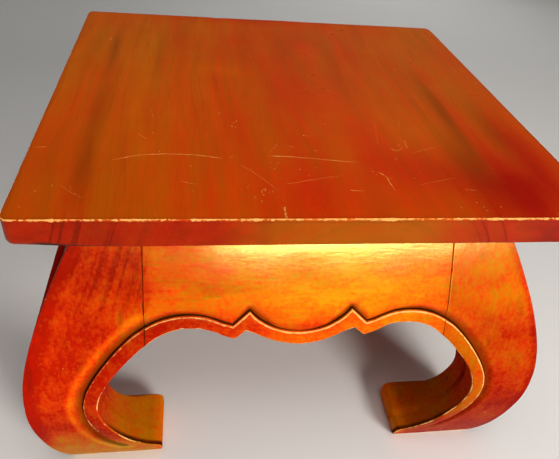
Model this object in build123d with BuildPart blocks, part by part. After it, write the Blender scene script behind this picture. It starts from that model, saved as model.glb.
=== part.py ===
from build123d import *
import os

os.makedirs("parts", exist_ok=True)

# Kang table: low square table with swelling aprons and inward-curling feet.
# Millimetres, +Z up. Origin: centre of the footprint, on the floor.
# Front is -Y, left is -X, seen from the front.

# ---- driving dimensions ----
W = 500.0            # top, left to right
D = 486.0            # top, front to back
T = 27.0             # top thickness
H = 390.0            # overall height
ZT = H - T           # underside of the top, also the top of the frame
K = 53.0             # the frame is this much shallower than wide, per side
J = 156.5            # half length of the front apron (its butt joint with the leg)
JS = J - K           # half length of a side apron
PL = 23.0            # thickness of the aprons and of the leg's upper wings
GD = 3.4             # depth of the groove above the bead
CD = 1.3             # depth of the shallow cove beside the groove
CL = 0.25            # clearance of the hidden joints

# Outer profile of the frame: (height, half width). The same curve is used for
# all four faces, so the legs have a mitred outer arris.
PROFILE = [(0, 250.8), (5, 254.0), (12, 257.5), (26, 263.0), (45, 268.8), (65, 273.5),
           (85, 276.9), (102.5, 278.9), (120, 279.8), (140, 279.5), (161, 277.6),
           (185, 273.0), (209.5, 265.9), (235, 257.0), (258.5, 247.0),
           (282.5, 235.5), (307, 222.6), (335, 206.4), (363, 190.4)]

# Lower edge of the front apron, half: centre pendant to the cusp, then from the
# tooth over the arch to the joint.
E_PEND = [(0, 205.5), (12.5, 206.6), (25, 209.4), (37, 213.8), (47.5, 218.6), (57, 221.8)]
E_ARCH = [(67.5, 213.6), (77.5, 216.6), (87.5, 220.8), (98, 224.2), (111, 225.6),
          (125, 224.6), (138, 220.8), (148, 215.2), (156.5, 208.8)]
# Lower edge of a side apron, half.
F_PEND = [(0, 205.5), (9, 206.5), (18, 209.4), (26.5, 213.8), (34, 218.4), (41, 221.8)]
F_ARCH = [(50, 213.8), (56, 216.6), (62.5, 220.4), (69.5, 223.3), (77, 223.9),
          (84.5, 222.0), (91.5, 218.4), (97.5, 213.9), (103.5, 208.8)]
# Inner edge of the leg seen from the front: from the joint down round the
# C-shaped cut to the tip of the toe.
E_LEG = [(156.5, 208.8), (166, 200.2), (175, 191.0), (184, 180.8), (192.3, 169.6),
         (199.6, 157.4), (205.3, 144.2), (208.4, 127.5), (206.2, 108.5), (199.6, 89.0),
         (189.8, 69.0), (177.8, 51.5), (163.5, 38.0), (149.0, 29.0)]
TOE = [(149.0, 29.0), (147.2, 21.0), (147.6, 9.0), (150.5, 0.0), (150.5, -6.0)]
# The same edge seen from the side, a wider cut; first number is |y| + K.
E_SIDE = [(156.5, 208.8), (168, 203.5), (179, 197.0), (190, 189.0), (201, 179.5),
          (211, 168.0), (219.5, 155.0), (225.5, 140.0), (228.5, 122.0), (227.5, 104.0),
          (224.5, 86.0), (219, 70.0), (211.5, 56.0), (203, 44.0), (194, 34.0)]
TOE_SIDE = [(194.0, 34.0), (192.2, 26.0), (192.6, 10.0), (195.5, 0.0), (195.5, -6.0)]
# Top of the bead (inner side of the groove), same order.
B_PEND = [(0, 218.2), (13, 219.2), (26, 222.4), (37, 227.6), (46, 233.6), (53, 240.5)]
B_ARCH = [(69.5, 226.2), (79, 229.0), (89, 233.0), (99.5, 236.2), (112, 237.6),
          (126, 237.0), (138, 234.4), (147.5, 231.0), (156.5, 226.4)]
G_PEND = [(0, 218.2), (9.5, 219.2), (19, 222.4), (27, 227.6), (33.5, 233.6), (38.5, 240.5)]
G_ARCH = [(51.5, 226.2), (57.5, 229.2), (64, 233.0), (71, 235.9), (78.5, 236.8),
          (86, 235.8), (92.5, 233.2), (98.5, 229.8), (103.5, 226.4)]
B_LEG = [(156.5, 226.4), (167.2, 219.4), (177.0, 210.6), (186.4, 200.6), (195.6, 189.2),
         (204.4, 176.8), (212.3, 163.2), (218.6, 148.0), (222.0, 128.0), (219.4, 104.0),
         (212.0, 82.0), (200.8, 61.0), (188.0, 45.0)]
B_SIDE = [(156.5, 226.4), (171, 219.6), (184.6, 211.6), (199, 200.4), (211.3, 189.8),
          (222.3, 176.8), (232.2, 161.0), (239.6, 142.5), (243, 121.5), (241.9, 101.0),
          (238.4, 81.5), (232.3, 64.2), (223.9, 48.4)]

# Behind the upper wings the leg is hollowed to this line, leaving the post.
POST = [(190, 141.0), (200, 149.0), (203.5, 160.0), (202, 178.0), (197.5, 200.0),
        (190, 228.0), (181, 260.0), (171, 300.0), (162.5, 335.0), (157, 368.0)]
POST_SIDE = [(210, 145.0), (219.5, 152.0), (223.5, 163.0), (221, 184.0), (213.5, 208.0),
             (203, 234.0), (191.5, 264.0), (179, 300.0), (167, 335.0), (157.5, 368.0)]


def inside(points):
    # the same points on the other side of the centre line, in reverse order
    return [(-a, b) for a, b in reversed(points)]


def grow(points, w, at_end=None):
    # points moved by w along the local normal, away from the opening
    out = []
    n = len(points)
    for i, (a, b) in enumerate(points):
        a0, b0 = points[max(i - 1, 0)]
        a1, b1 = points[min(i + 1, n - 1)]
        ta, tb = a1 - a0, b1 - b0
        ln = (ta * ta + tb * tb) ** 0.5
        out.append((a - tb / ln * w, b + ta / ln * w))
    return out


def prof(off):
    # profile of the front face in the (y, z) plane, moved in by off
    return [(-(h - K - off), z) for z, h in PROFILE]


def prof_x(off):
    # profile of the right-hand face in the (x, z) plane, moved in by off
    return [(h - off, z) for z, h in PROFILE]


def across(points):
    # (|y| + K, z) to the right-hand elevation (y, z)
    return [(-(a - K), b) for a, b in points]


def same(points):
    return list(points)


# The two outer faces of the right-hand front leg: the plane its profile lies
# in, the profile, the plane of its elevation and the elevation's mapping, then
# the face's own lines: bead, inner edge, toe and post.
FACES = [(Plane.YZ, prof, Plane.XZ, same, B_LEG, E_LEG, TOE, POST),
         (Plane.XZ, prof_x, Plane.YZ, across, B_SIDE, E_SIDE, TOE_SIDE, POST_SIDE)]

# ---------------------------------------------------------------- groove depth
# Skin of the front face, GD deep, the whole width of the frame.
with BuildPart() as skin_groove:
    with BuildSketch(Plane.YZ):
        with BuildLine():
            o = Spline(*prof(-6.0))
            i = Spline(*prof(GD))
            Line(o @ 0, i @ 0)
            Line(o @ 1, i @ 1)
        make_face()
    extrude(amount=300, both=True)

with BuildPart() as skin_cove:
    with BuildSketch(Plane.YZ):
        with BuildLine():
            o = Spline(*prof(-6.0))
            i = Spline(*prof(CD))
            Line(o @ 0, i @ 0)
            Line(o @ 1, i @ 1)
        make_face()
    extrude(amount=300, both=True)


# ---------------------------------------------------------------- front apron
# Cutters: a groove 4 wide and a cove 5 wider, following the bead.
def arch_band(pend, arch, w):
    # closed outline between the bead line and the same line grown by w
    gp = grow(pend, w)
    ga = grow(arch, w)
    gp[0] = (0, pend[0][1] + w)
    ga[-1] = (arch[-1][0], arch[-1][1] + w * 1.22)
    # above the cusp both grown branches meet in a point
    meet = (pend[-1][0] + 0.5, pend[-1][1] + 1.55 * w)
    gp[-1] = meet
    ga[0] = (arch[0][0] + 0.2 * w, arch[0][1] + 1.0 * w)
    return gp, ga


with BuildPart() as apron_front_groove:
    gp, ga = arch_band(B_PEND, B_ARCH, 4.0)
    with BuildSketch(Plane.XZ):
        with BuildLine():
            a1 = Spline(*B_PEND)
            a2 = Line(B_PEND[-1], B_ARCH[0])
            a3 = Spline(*B_ARCH)
            Line(B_ARCH[-1], ga[-1])
            b3 = Spline(*ga)
            b2 = Line(ga[0], gp[-1])
            b1 = Spline(*gp)
            Line(B_PEND[0], gp[0])
        make_face()
        mirror(about=Plane.YZ)
    extrude(amount=400, both=True)
    add(skin_groove.part, mode=Mode.INTERSECT)

with BuildPart() as apron_front_cove:
    gp, ga = arch_band(B_PEND, B_ARCH, 9.0)
    with BuildSketch(Plane.XZ):
        with BuildLine():
            a1 = Spline(*B_PEND)
            a2 = Line(B_PEND[-1], B_ARCH[0])
            a3 = Spline(*B_ARCH)
            Line(B_ARCH[-1], ga[-1])
            b3 = Spline(*ga)
            b2 = Line(ga[0], gp[-1])
            b1 = Spline(*gp)
            Line(B_PEND[0], gp[0])
        make_face()
        mirror(about=Plane.YZ)
    extrude(amount=400, both=True)
    add(skin_cove.part, mode=Mode.INTERSECT)

with BuildPart() as apron_front:
    with BuildSketch(Plane.YZ):
        with BuildLine():
            o = Spline(*prof(0))
            i = Spline(*prof(PL))
            Line(o @ 0, i @ 0)
            Line(o @ 1, i @ 1)
        make_face()
    extrude(amount=J, both=True)
    with BuildSketch(Plane.XZ):
        with BuildLine():
            Spline(*E_PEND)
            Line(E_PEND[-1], E_ARCH[0])
            Spline(*E_ARCH)
            Polyline(E_ARCH[-1], (J, ZT + 5), (0, ZT + 5), (0, E_PEND[0][1]))
        make_face()
        mirror(about=Plane.YZ)
    extrude(amount=400, both=True, mode=Mode.INTERSECT)
    add(apron_front_groove.part, mode=Mode.SUBTRACT)
    add(apron_front_cove.part, mode=Mode.SUBTRACT)


with BuildPart() as apron_right_groove:
    gp, ga = arch_band(G_PEND, G_ARCH, 4.0)
    with BuildSketch(Plane.XZ):
        with BuildLine():
            Spline(*G_PEND)
            Line(G_PEND[-1], G_ARCH[0])
            Spline(*G_ARCH)
            Line(G_ARCH[-1], ga[-1])
            Spline(*ga)
            Line(ga[0], gp[-1])
            Spline(*gp)
            Line(G_PEND[0], gp[0])
        make_face()
        mirror(about=Plane.YZ)
    extrude(amount=400, both=True)
    add(skin_groove.part, mode=Mode.INTERSECT)

with BuildPart() as apron_right_cove:
    gp, ga = arch_band(G_PEND, G_ARCH, 9.0)
    with BuildSketch(Plane.XZ):
        with BuildLine():
            Spline(*G_PEND)
            Line(G_PEND[-1], G_ARCH[0])
            Spline(*G_ARCH)
            Line(G_ARCH[-1], ga[-1])
            Spline(*ga)
            Line(ga[0], gp[-1])
            Spline(*gp)
            Line(G_PEND[0], gp[0])
        make_face()
        mirror(about=Plane.YZ)
    extrude(amount=400, both=True)
    add(skin_cove.part, mode=Mode.INTERSECT)

# The short apron, first shaped across the front, then turned to the right side.
with BuildPart() as apron_short:
    with BuildSketch(Plane.YZ):
        with BuildLine():
            o = Spline(*prof(0))
            i = Spline(*prof(PL))
            Line(o @ 0, i @ 0)
            Line(o @ 1, i @ 1)
        make_face()
    extrude(amount=JS, both=True)
    with BuildSketch(Plane.XZ):
        with BuildLine():
            Spline(*F_PEND)
            Line(F_PEND[-1], F_ARCH[0])
            Spline(*F_ARCH)
            Polyline(F_ARCH[-1], (JS, ZT + 5), (0, ZT + 5), (0, F_PEND[0][1]))
        make_face()
        mirror(about=Plane.YZ)
    extrude(amount=400, both=True, mode=Mode.INTERSECT)
    add(apron_right_groove.part, mode=Mode.SUBTRACT)
    add(apron_right_cove.part, mode=Mode.SUBTRACT)

# ---------------------------------------------------------------- joints
TEN_L = 14.0         # length of the apron tenons
TEN_Z0, TEN_Z1 = 236.0, 346.0
PIN_R = 2.5
PIN_Z = [255.0, 295.0]


def half_at(z):
    for (z0, h0), (z1, h1) in zip(PROFILE, PROFILE[1:]):
        if z0 <= z <= z1:
            return h0 + (h1 - h0) * (z - z0) / (z1 - z0)


# Tongue strip inside the thickness of the apron, across the whole frame.
with BuildPart() as tenon_strip:
    with BuildSketch(Plane.YZ):
        with BuildLine():
            o = Spline(*prof(6.5))
            i = Spline(*prof(16.5))
            Line(o @ 0, i @ 0)
            Line(o @ 1, i @ 1)
        make_face()
    extrude(amount=300, both=True)
    with Locations((0, 0, (TEN_Z0 + TEN_Z1) / 2)):
        Box(900, 900, TEN_Z1 - TEN_Z0, mode=Mode.INTERSECT)

# Holes for the same pins in the tenons of the front apron, both ends.
with BuildPart() as tenon_holes:
    for z in PIN_Z:
        y_in = -(half_at(z) - K - PL)
        for sx in (-1, 1):
            with Locations(Location((sx * (J + 7), y_in + 8, z), (90, 0, 0))):
                Cylinder(PIN_R + 0.1, 8 + PL - 7.0,
                         align=(Align.CENTER, Align.CENTER, Align.MIN))

with BuildPart() as tenons_front:
    add(tenon_strip.part)
    Box(2 * (J + TEN_L), 900, 900, mode=Mode.INTERSECT)
    Box(2 * J - 2, 900, 900, mode=Mode.SUBTRACT)
    add(tenon_holes.part, mode=Mode.SUBTRACT)

# The same two parts for a short apron, moved in by K at each end.
with BuildPart() as short_holes:
    for z in PIN_Z:
        y_in = -(half_at(z) - K - PL)
        for sx in (-1, 1):
            with Locations(Location((sx * (JS + 7), y_in + 8, z), (90, 0, 0))):
                Cylinder(PIN_R + 0.1, 8 + PL - 7.0,
                         align=(Align.CENTER, Align.CENTER, Align.MIN))

with BuildPart() as tenons_short:
    add(tenon_strip.part)
    Box(2 * (JS + TEN_L), 900, 900, mode=Mode.INTERSECT)
    Box(2 * JS - 2, 900, 900, mode=Mode.SUBTRACT)
    add(short_holes.part, mode=Mode.SUBTRACT)

# ---------------------------------------------------------------- aprons
with BuildPart() as apron_front_whole:
    add(apron_front.part)
    add(tenons_front.part)
apron_front_whole.part.label = "apron_front"
export_step(apron_front_whole.part, "parts/apron_front.step")

with BuildPart() as apron_back:
    mirror(apron_front_whole.part, about=Plane.XZ)
apron_back.part.label = "apron_back"
export_step(apron_back.part, "parts/apron_back.step")

with BuildPart() as apron_short_whole:
    add(apron_short.part)
    add(tenons_short.part)

# Reflected across the leg's diagonal it becomes the right-hand apron, centred.
with BuildPart() as short_flip:
    mirror(apron_short_whole.part, about=Plane.XZ)
with BuildPart() as apron_right:
    with Locations(Location((K, 0, 0), (0, 0, -90))):
        add(short_flip.part)
apron_right.part.label = "apron_right"
export_step(apron_right.part, "parts/apron_right.step")

with BuildPart() as apron_left:
    mirror(apron_right.part, about=Plane.YZ)
apron_left.part.label = "apron_left"
export_step(apron_left.part, "parts/apron_left.step")

# ---------------------------------------------------------------- legs
# Everything below is shaped twice, once for each outer face of the leg.
def band(line, w, rise, end, before_end):
    # outer side of a groove w wide that tapers out at the foot
    g = grow(line, w)
    g[0] = (J, line[0][1] + rise)
    g[-1] = (line[-1][0] + end, line[-1][1] - end)
    g[-2] = (line[-2][0] + before_end[0], line[-2][1] - before_end[1])
    return g


leg_cuts = []
for strip_plane, strip, elev_plane, to_elev, bead, inner, toe, post in FACES:
    for depth, edge in ((GD, band(bead, 4.0, 4.9, 0.8, (1.8, 1.0))),
                        (CD, band(bead, 9.0, 11.0, 1.5, (4.6, 2.4)))):
        with BuildPart() as cut:
            with BuildSketch(strip_plane):
                with BuildLine():
                    o = Spline(*strip(-6.0))
                    i = Spline(*strip(depth))
                    Line(o @ 0, i @ 0)
                    Line(o @ 1, i @ 1)
                make_face()
            extrude(amount=320, both=True)
            with BuildSketch(elev_plane):
                with BuildLine():
                    b1 = Spline(*to_elev(bead))
                    e1 = Spline(*to_elev(edge))
                    Line(b1 @ 1, e1 @ 1)
                    Line(e1 @ 0, b1 @ 0)
                make_face()
            extrude(amount=400, both=True, mode=Mode.INTERSECT)
        leg_cuts.append(cut.part)

# The block each leg is cut from: it swells outward on both outer faces, which
# meet in the mitred arris. Each outline runs on a little past both ends; the
# crossing body is trimmed to height.
blocks = []
for (strip_plane, strip, elev_plane, to_elev, bead, inner, toe, post), dz in zip(FACES, (0.0, 0.01)):
    p = [(a, b + dz) for a, b in strip(0)]
    back = 110.0 if strip is prof_x else -(110.0 - K)
    with BuildPart() as block_half:
        with BuildSketch(strip_plane):
            with BuildLine():
                Spline(*p)
                Polyline(p[-1], (p[-1][0], ZT + 2), (back, ZT + 2), (back, -2.0),
                         (p[0][0], -2.0), p[0])
            make_face()
        extrude(amount=400, both=True)
    blocks.append(block_half.part)

# The C-shaped cuts: each runs straight through the leg, from the joint with
# the apron round to the toe. Above the edge the cut is the face of the joint.
openings = []
for strip_plane, strip, elev_plane, to_elev, bead, inner, toe, post in FACES:
    with BuildPart() as opening:
        with BuildSketch(elev_plane):
            with BuildLine():
                Spline(*to_elev(inner))
                Polyline(*to_elev(toe + [(60.0, -6.0), (60.0, ZT + 6), (J, ZT + 6), inner[0]]))
            make_face()
        extrude(amount=400, both=True)
    openings.append(opening.part)

# Hollows behind the upper wings, which stay as thick as the aprons.
hollows = []
for strip_plane, strip, elev_plane, to_elev, bead, inner, toe, post in FACES:
    far = 20.0 if strip is prof_x else -(20.0 - K)
    q = strip(PL)
    with BuildPart() as hollow:
        with BuildSketch(strip_plane):
            with BuildLine():
                Spline(*q)
                Polyline(q[-1], (q[-1][0], ZT + 8), (far, ZT + 8), (far, q[0][1]), q[0])
            make_face()
        extrude(amount=400, both=True)
        with BuildSketch(elev_plane):
            with BuildLine():
                Spline(*to_elev(post))
                Polyline(*to_elev([post[-1], (60.0, post[-1][1]), (60.0, post[0][1]), post[0]]))
            make_face()
        extrude(amount=400, both=True, mode=Mode.INTERSECT)
    hollows.append(hollow.part)

# Mortises for the tenons of the two aprons, with the pin holes.
mortises = []
for strip_plane, strip, elev_plane, to_elev, bead, inner, toe, post in FACES:
    with BuildPart() as mortise:
        with BuildSketch(strip_plane):
            with BuildLine():
                o = Spline(*strip(6.5 - CL))
                i = Spline(*strip(16.5 + CL))
                Line(o @ 0, i @ 0)
                Line(o @ 1, i @ 1)
            make_face()
        extrude(amount=300, both=True)
        with BuildSketch(elev_plane):
            with BuildLine():
                Polyline(*to_elev([(J - 1, TEN_Z0 - CL), (J + TEN_L + 2 * CL, TEN_Z0 - CL),
                                   (J + TEN_L + 2 * CL, TEN_Z1 + CL), (J - 1, TEN_Z1 + CL),
                                   (J - 1, TEN_Z0 - CL)]))
            make_face()
        extrude(amount=400, both=True, mode=Mode.INTERSECT)
    mortises.append(mortise.part)

with BuildPart() as leg_pin_holes:
    for z in PIN_Z:
        n_in = half_at(z) - PL
        with Locations(Location((J + 7, -(n_in - K) + 8, z), (90, 0, 0)),
                       Location((n_in - 8, -(J + 7 - K), z), (0, 90, 0))):
            Cylinder(PIN_R + 0.1, 8 + PL - 7.0,
                     align=(Align.CENTER, Align.CENTER, Align.MIN))

LT = 18.0            # square tenon on top of each leg
LT_H = 14.0
LT_X = (J + 190.4) / 2

with BuildPart() as leg_front_right:
    add(blocks[0])
    add(blocks[1], mode=Mode.INTERSECT)
    Box(900, 900, ZT, align=(Align.CENTER, Align.CENTER, Align.MIN), mode=Mode.INTERSECT)
    for c in hollows + openings + leg_cuts + mortises:
        add(c, mode=Mode.SUBTRACT)
    add(leg_pin_holes.part, mode=Mode.SUBTRACT)
    with Locations((LT_X, -(LT_X - K), ZT - 4)):
        Box(LT, LT, LT_H + 4, align=(Align.CENTER, Align.CENTER, Align.MIN))
print("leg", leg_front_right.part.volume, len(leg_front_right.part.solids()), leg_front_right.part.is_valid)
leg_front_right.part.label = "leg_front_right"
export_step(leg_front_right.part, "parts/leg_front_right.step")

with BuildPart() as leg_front_left:
    mirror(leg_front_right.part, about=Plane.YZ)
leg_front_left.part.label = "leg_front_left"
export_step(leg_front_left.part, "parts/leg_front_left.step")

with BuildPart() as leg_back_right:
    mirror(leg_front_right.part, about=Plane.XZ)
leg_back_right.part.label = "leg_back_right"
export_step(leg_back_right.part, "parts/leg_back_right.step")

with BuildPart() as leg_back_left:
    mirror(leg_back_right.part, about=Plane.YZ)
leg_back_left.part.label = "leg_back_left"
export_step(leg_back_left.part, "parts/leg_back_left.step")

# ---------------------------------------------------------------- pins
# Sixteen wooden pins: two through every apron tenon, driven from the inside.
with BuildPart() as apron_pins:
    for z in PIN_Z:
        n_in = half_at(z) - PL
        with Locations(Location((J + 7, -(n_in - K) + 1.5, z), (90, 0, 0)),
                       Location((n_in - 1.5, -(J + 7 - K), z), (0, 90, 0))):
            Cylinder(PIN_R, 1.5 + PL - 7.5, align=(Align.CENTER, Align.CENTER, Align.MIN))
    mirror(about=Plane.YZ)
    mirror(about=Plane.XZ)
apron_pins.part.label = "apron_pins"
export_step(apron_pins.part, "parts/apron_pins.step")
print("pins", len(apron_pins.part.solids()))

# ---------------------------------------------------------------- battens
BAT_Y = 58.0
BAT_W = 34.0
BAT_H = 26.0
BAT_L = 165.0        # half length
DT_H = 6.0           # dovetail height
DT_W0, DT_W1 = 20.0, 26.0

with BuildPart() as batten_front:
    with BuildSketch(Plane.YZ):
        with BuildLine():
            Polyline((-BAT_Y - BAT_W / 2, ZT), (-BAT_Y - DT_W0 / 2, ZT),
                     (-BAT_Y - DT_W1 / 2, ZT + DT_H), (-BAT_Y + DT_W1 / 2, ZT + DT_H),
                     (-BAT_Y + DT_W0 / 2, ZT), (-BAT_Y + BAT_W / 2, ZT),
                     (-BAT_Y + BAT_W / 2, ZT - BAT_H + 4), (-BAT_Y + BAT_W / 2 - 4, ZT - BAT_H),
                     (-BAT_Y - BAT_W / 2 + 4, ZT - BAT_H), (-BAT_Y - BAT_W / 2, ZT - BAT_H + 4),
                     (-BAT_Y - BAT_W / 2, ZT))
        make_face()
    extrude(amount=BAT_L, both=True)
batten_front.part.label = "batten_front"
export_step(batten_front.part, "parts/batten_front.step")

with BuildPart() as batten_back:
    mirror(batten_front.part, about=Plane.XZ)
batten_back.part.label = "batten_back"
export_step(batten_back.part, "parts/batten_back.step")

# Slot for one batten in the underside of the top.
with BuildPart() as slot:
    with BuildSketch(Plane.YZ):
        with BuildLine():
            Polyline((-BAT_Y - DT_W0 / 2 - CL, ZT - 1), (-BAT_Y - DT_W0 / 2 - CL, ZT),
                     (-BAT_Y - DT_W1 / 2 - CL, ZT + DT_H + CL),
                     (-BAT_Y + DT_W1 / 2 + CL, ZT + DT_H + CL),
                     (-BAT_Y + DT_W0 / 2 + CL, ZT), (-BAT_Y + DT_W0 / 2 + CL, ZT - 1),
                     (-BAT_Y - DT_W0 / 2 - CL, ZT - 1))
        make_face()
    extrude(amount=BAT_L + CL, both=True)

# ---------------------------------------------------------------- cleats
# Glue cleats in the angle between the top and each apron.
CLT = 18.0
with BuildPart() as cleat_front:
    with BuildSketch(Plane.YZ):
        with BuildLine():
            o = Spline(*prof(PL + CL))
            Line(o @ 1, (-(190.4 - K - PL - CL - CLT), ZT))
            Line((-(190.4 - K - PL - CL - CLT), ZT), (-(190.4 - K - PL - CL - CLT), 0))
            Line((-(190.4 - K - PL - CL - CLT), 0), o @ 0)
        make_face()
    extrude(amount=124, both=True)
    with Locations((0, 0, ZT - CLT)):
        Box(900, 900, CLT, align=(Align.CENTER, Align.CENTER, Align.MIN), mode=Mode.INTERSECT)
cleat_front.part.label = "cleat_front"
export_step(cleat_front.part, "parts/cleat_front.step")

with BuildPart() as cleat_back:
    mirror(cleat_front.part, about=Plane.XZ)
cleat_back.part.label = "cleat_back"
export_step(cleat_back.part, "parts/cleat_back.step")

with BuildPart() as cleat_right:
    with BuildSketch(Plane.XZ):
        with BuildLine():
            o = Spline(*prof_x(PL + CL))
            Line(o @ 1, (190.4 - PL - CL - CLT, ZT))
            Line((190.4 - PL - CL - CLT, ZT), (190.4 - PL - CL - CLT, 0))
            Line((190.4 - PL - CL - CLT, 0), o @ 0)
        make_face()
    extrude(amount=38, both=True)
    with Locations((0, 0, ZT - CLT)):
        Box(900, 900, CLT, align=(Align.CENTER, Align.CENTER, Align.MIN), mode=Mode.INTERSECT)
cleat_right.part.label = "cleat_right"
export_step(cleat_right.part, "parts/cleat_right.step")

with BuildPart() as cleat_left:
    mirror(cleat_right.part, about=Plane.YZ)
cleat_left.part.label = "cleat_left"
export_step(cleat_left.part, "parts/cleat_left.step")

# ---------------------------------------------------------------- top
with BuildPart() as table_top:
    with Locations((0, 0, ZT)):
        Box(W, D, T, align=(Align.CENTER, Align.CENTER, Align.MIN))
    fillet(table_top.edges().filter_by(Axis.Z), radius=7.0)
    chamfer(table_top.faces().sort_by(Axis.Z)[-1].edges(), length=1.0)
    fillet(table_top.faces().sort_by(Axis.Z)[0].edges(), radius=3.0)
    add(slot.part, mode=Mode.SUBTRACT)
    mirror(slot.part, about=Plane.XZ, mode=Mode.SUBTRACT)
    for sx in (-1, 1):
        for sy in (-1, 1):
            with Locations((sx * LT_X, sy * (LT_X - K), ZT - 1)):
                Box(LT + 2 * CL, LT + 2 * CL, LT_H + CL + 1,
                    align=(Align.CENTER, Align.CENTER, Align.MIN), mode=Mode.SUBTRACT)
table_top.part.label = "table_top"
export_step(table_top.part, "parts/table_top.step")
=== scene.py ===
import math

import bpy
import numpy as np
from mathutils import Matrix, Vector


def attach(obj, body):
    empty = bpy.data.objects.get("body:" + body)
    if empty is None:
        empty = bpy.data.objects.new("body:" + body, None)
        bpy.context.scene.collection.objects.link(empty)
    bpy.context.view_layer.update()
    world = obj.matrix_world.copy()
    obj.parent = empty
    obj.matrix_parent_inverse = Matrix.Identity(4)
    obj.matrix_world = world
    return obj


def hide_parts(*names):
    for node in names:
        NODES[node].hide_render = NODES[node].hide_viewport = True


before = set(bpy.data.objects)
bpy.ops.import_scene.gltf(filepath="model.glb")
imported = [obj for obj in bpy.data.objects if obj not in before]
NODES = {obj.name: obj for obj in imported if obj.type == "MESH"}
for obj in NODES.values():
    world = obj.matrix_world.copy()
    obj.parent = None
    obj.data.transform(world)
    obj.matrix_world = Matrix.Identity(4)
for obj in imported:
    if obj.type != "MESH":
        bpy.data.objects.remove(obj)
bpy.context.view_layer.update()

scene = bpy.context.scene
MM = 0.001

# ------------------------------------------------------------------ dimensions, mm
W, D, T, H = 500.0, 486.0, 27.0, 390.0
ZT = H - T
K = 53.0
J = 156.5
JS = J - K
PL = 23.0
PROFILE = [(0, 250.8), (5, 254.0), (12, 257.5), (26, 263.0), (45, 268.8), (65, 273.5),
           (85, 276.9), (102.5, 278.9), (120, 279.8), (140, 279.5), (161, 277.6),
           (185, 273.0), (209.5, 265.9), (235, 257.0), (258.5, 247.0),
           (282.5, 235.5), (307, 222.6), (335, 206.4), (363, 190.4)]
# Lower edges of the aprons and inner edges of the leg, in elevation.
E_PEND = [(0, 205.5), (12.5, 206.6), (25, 209.4), (37, 213.8), (47.5, 218.6), (57, 221.8)]
E_ARCH = [(67.5, 213.6), (77.5, 216.6), (87.5, 220.8), (98, 224.2), (111, 225.6),
          (125, 224.6), (138, 220.8), (148, 215.2), (156.5, 208.8)]
F_PEND = [(0, 205.5), (9, 206.5), (18, 209.4), (26.5, 213.8), (34, 218.4), (41, 221.8)]
F_ARCH = [(50, 213.8), (56, 216.6), (62.5, 220.4), (69.5, 223.3), (77, 223.9),
          (84.5, 222.0), (91.5, 218.4), (97.5, 213.9), (103.5, 208.8)]
E_LEG = [(156.5, 208.8), (166, 200.2), (175, 191.0), (184, 180.8), (192.3, 169.6),
         (199.6, 157.4), (205.3, 144.2), (208.4, 127.5), (206.2, 108.5), (199.6, 89.0),
         (189.8, 69.0), (177.8, 51.5), (163.5, 38.0), (149.0, 29.0),
         (147.2, 21.0), (147.6, 9.0), (150.5, 0.0)]
E_SIDE = [(156.5, 208.8), (168, 203.5), (179, 197.0), (190, 189.0), (201, 179.5),
          (211, 168.0), (219.5, 155.0), (225.5, 140.0), (228.5, 122.0), (227.5, 104.0),
          (224.5, 86.0), (219, 70.0), (211.5, 56.0), (203, 44.0), (194, 34.0),
          (192.2, 26.0), (192.6, 10.0), (195.5, 0.0)]
# Top line of the bead.
B_FRONT = [(0, 218.2), (13, 219.2), (26, 222.4), (37, 227.6), (46, 233.6), (53, 240.5),
           (69.5, 226.2), (79, 229.0), (89, 233.0), (99.5, 236.2), (112, 237.6),
           (126, 237.0), (138, 234.4), (147.5, 231.0), (156.5, 226.4)]
B_SHORT = [(0, 218.2), (9.5, 219.2), (19, 222.4), (27, 227.6), (33.5, 233.6), (38.5, 240.5),
           (51.5, 226.2), (57.5, 229.2), (64, 233.0), (71, 235.9), (78.5, 236.8),
           (86, 235.8), (92.5, 233.2), (98.5, 229.8), (103.5, 226.4)]
B_LEG = [(156.5, 226.4), (167.2, 219.4), (177.0, 210.6), (186.4, 200.6), (195.6, 189.2),
         (204.4, 176.8), (212.3, 163.2), (218.6, 148.0), (222.0, 128.0), (219.4, 104.0),
         (212.0, 82.0), (200.8, 61.0), (188.0, 45.0)]
B_SIDE = [(156.5, 226.4), (171, 219.6), (184.6, 211.6), (199, 200.4), (211.3, 189.8),
          (222.3, 176.8), (232.2, 161.0), (239.6, 142.5), (243, 121.5), (241.9, 101.0),
          (238.4, 81.5), (232.3, 64.2), (223.9, 48.4)]
POST = [(190, 141.0), (200, 149.0), (203.5, 160.0), (202, 178.0), (197.5, 200.0),
        (190, 228.0), (181, 260.0), (171, 300.0), (162.5, 335.0), (157, 368.0)]
POST_SIDE = [(210, 145.0), (219.5, 152.0), (223.5, 163.0), (221, 184.0), (213.5, 208.0),
             (203, 234.0), (191.5, 264.0), (179, 300.0), (167, 335.0), (157.5, 368.0)]
LT = 18.0
LT_X = (J + 190.4) / 2


def spline(points, n=10):
    """Catmull-Rom through the points, n points a span."""
    p = np.array(points, float)
    p = np.vstack([2 * p[0] - p[1], p, 2 * p[-1] - p[-2]])
    out = []
    for i in range(1, len(p) - 2):
        t = np.linspace(0, 1, n, endpoint=False)[:, None]
        a, b, c, d = p[i - 1], p[i], p[i + 1], p[i + 2]
        out.append(0.5 * (2 * b + (c - a) * t + (2 * a - 5 * b + 4 * c - d) * t ** 2
                          + (3 * b - a - 3 * c + d) * t ** 3))
    out.append(p[-2][None])
    return np.vstack(out)


PROF = spline(PROFILE, 14)


def half(z):
    """Half width of the frame at height z."""
    return np.interp(z, PROF[:, 0], PROF[:, 1])


def by_z(points):
    """Place across as a function of height."""
    s = spline(points)
    s = s[np.argsort(s[:, 1])]
    return lambda z: np.interp(z, s[:, 1], s[:, 0])


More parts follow.
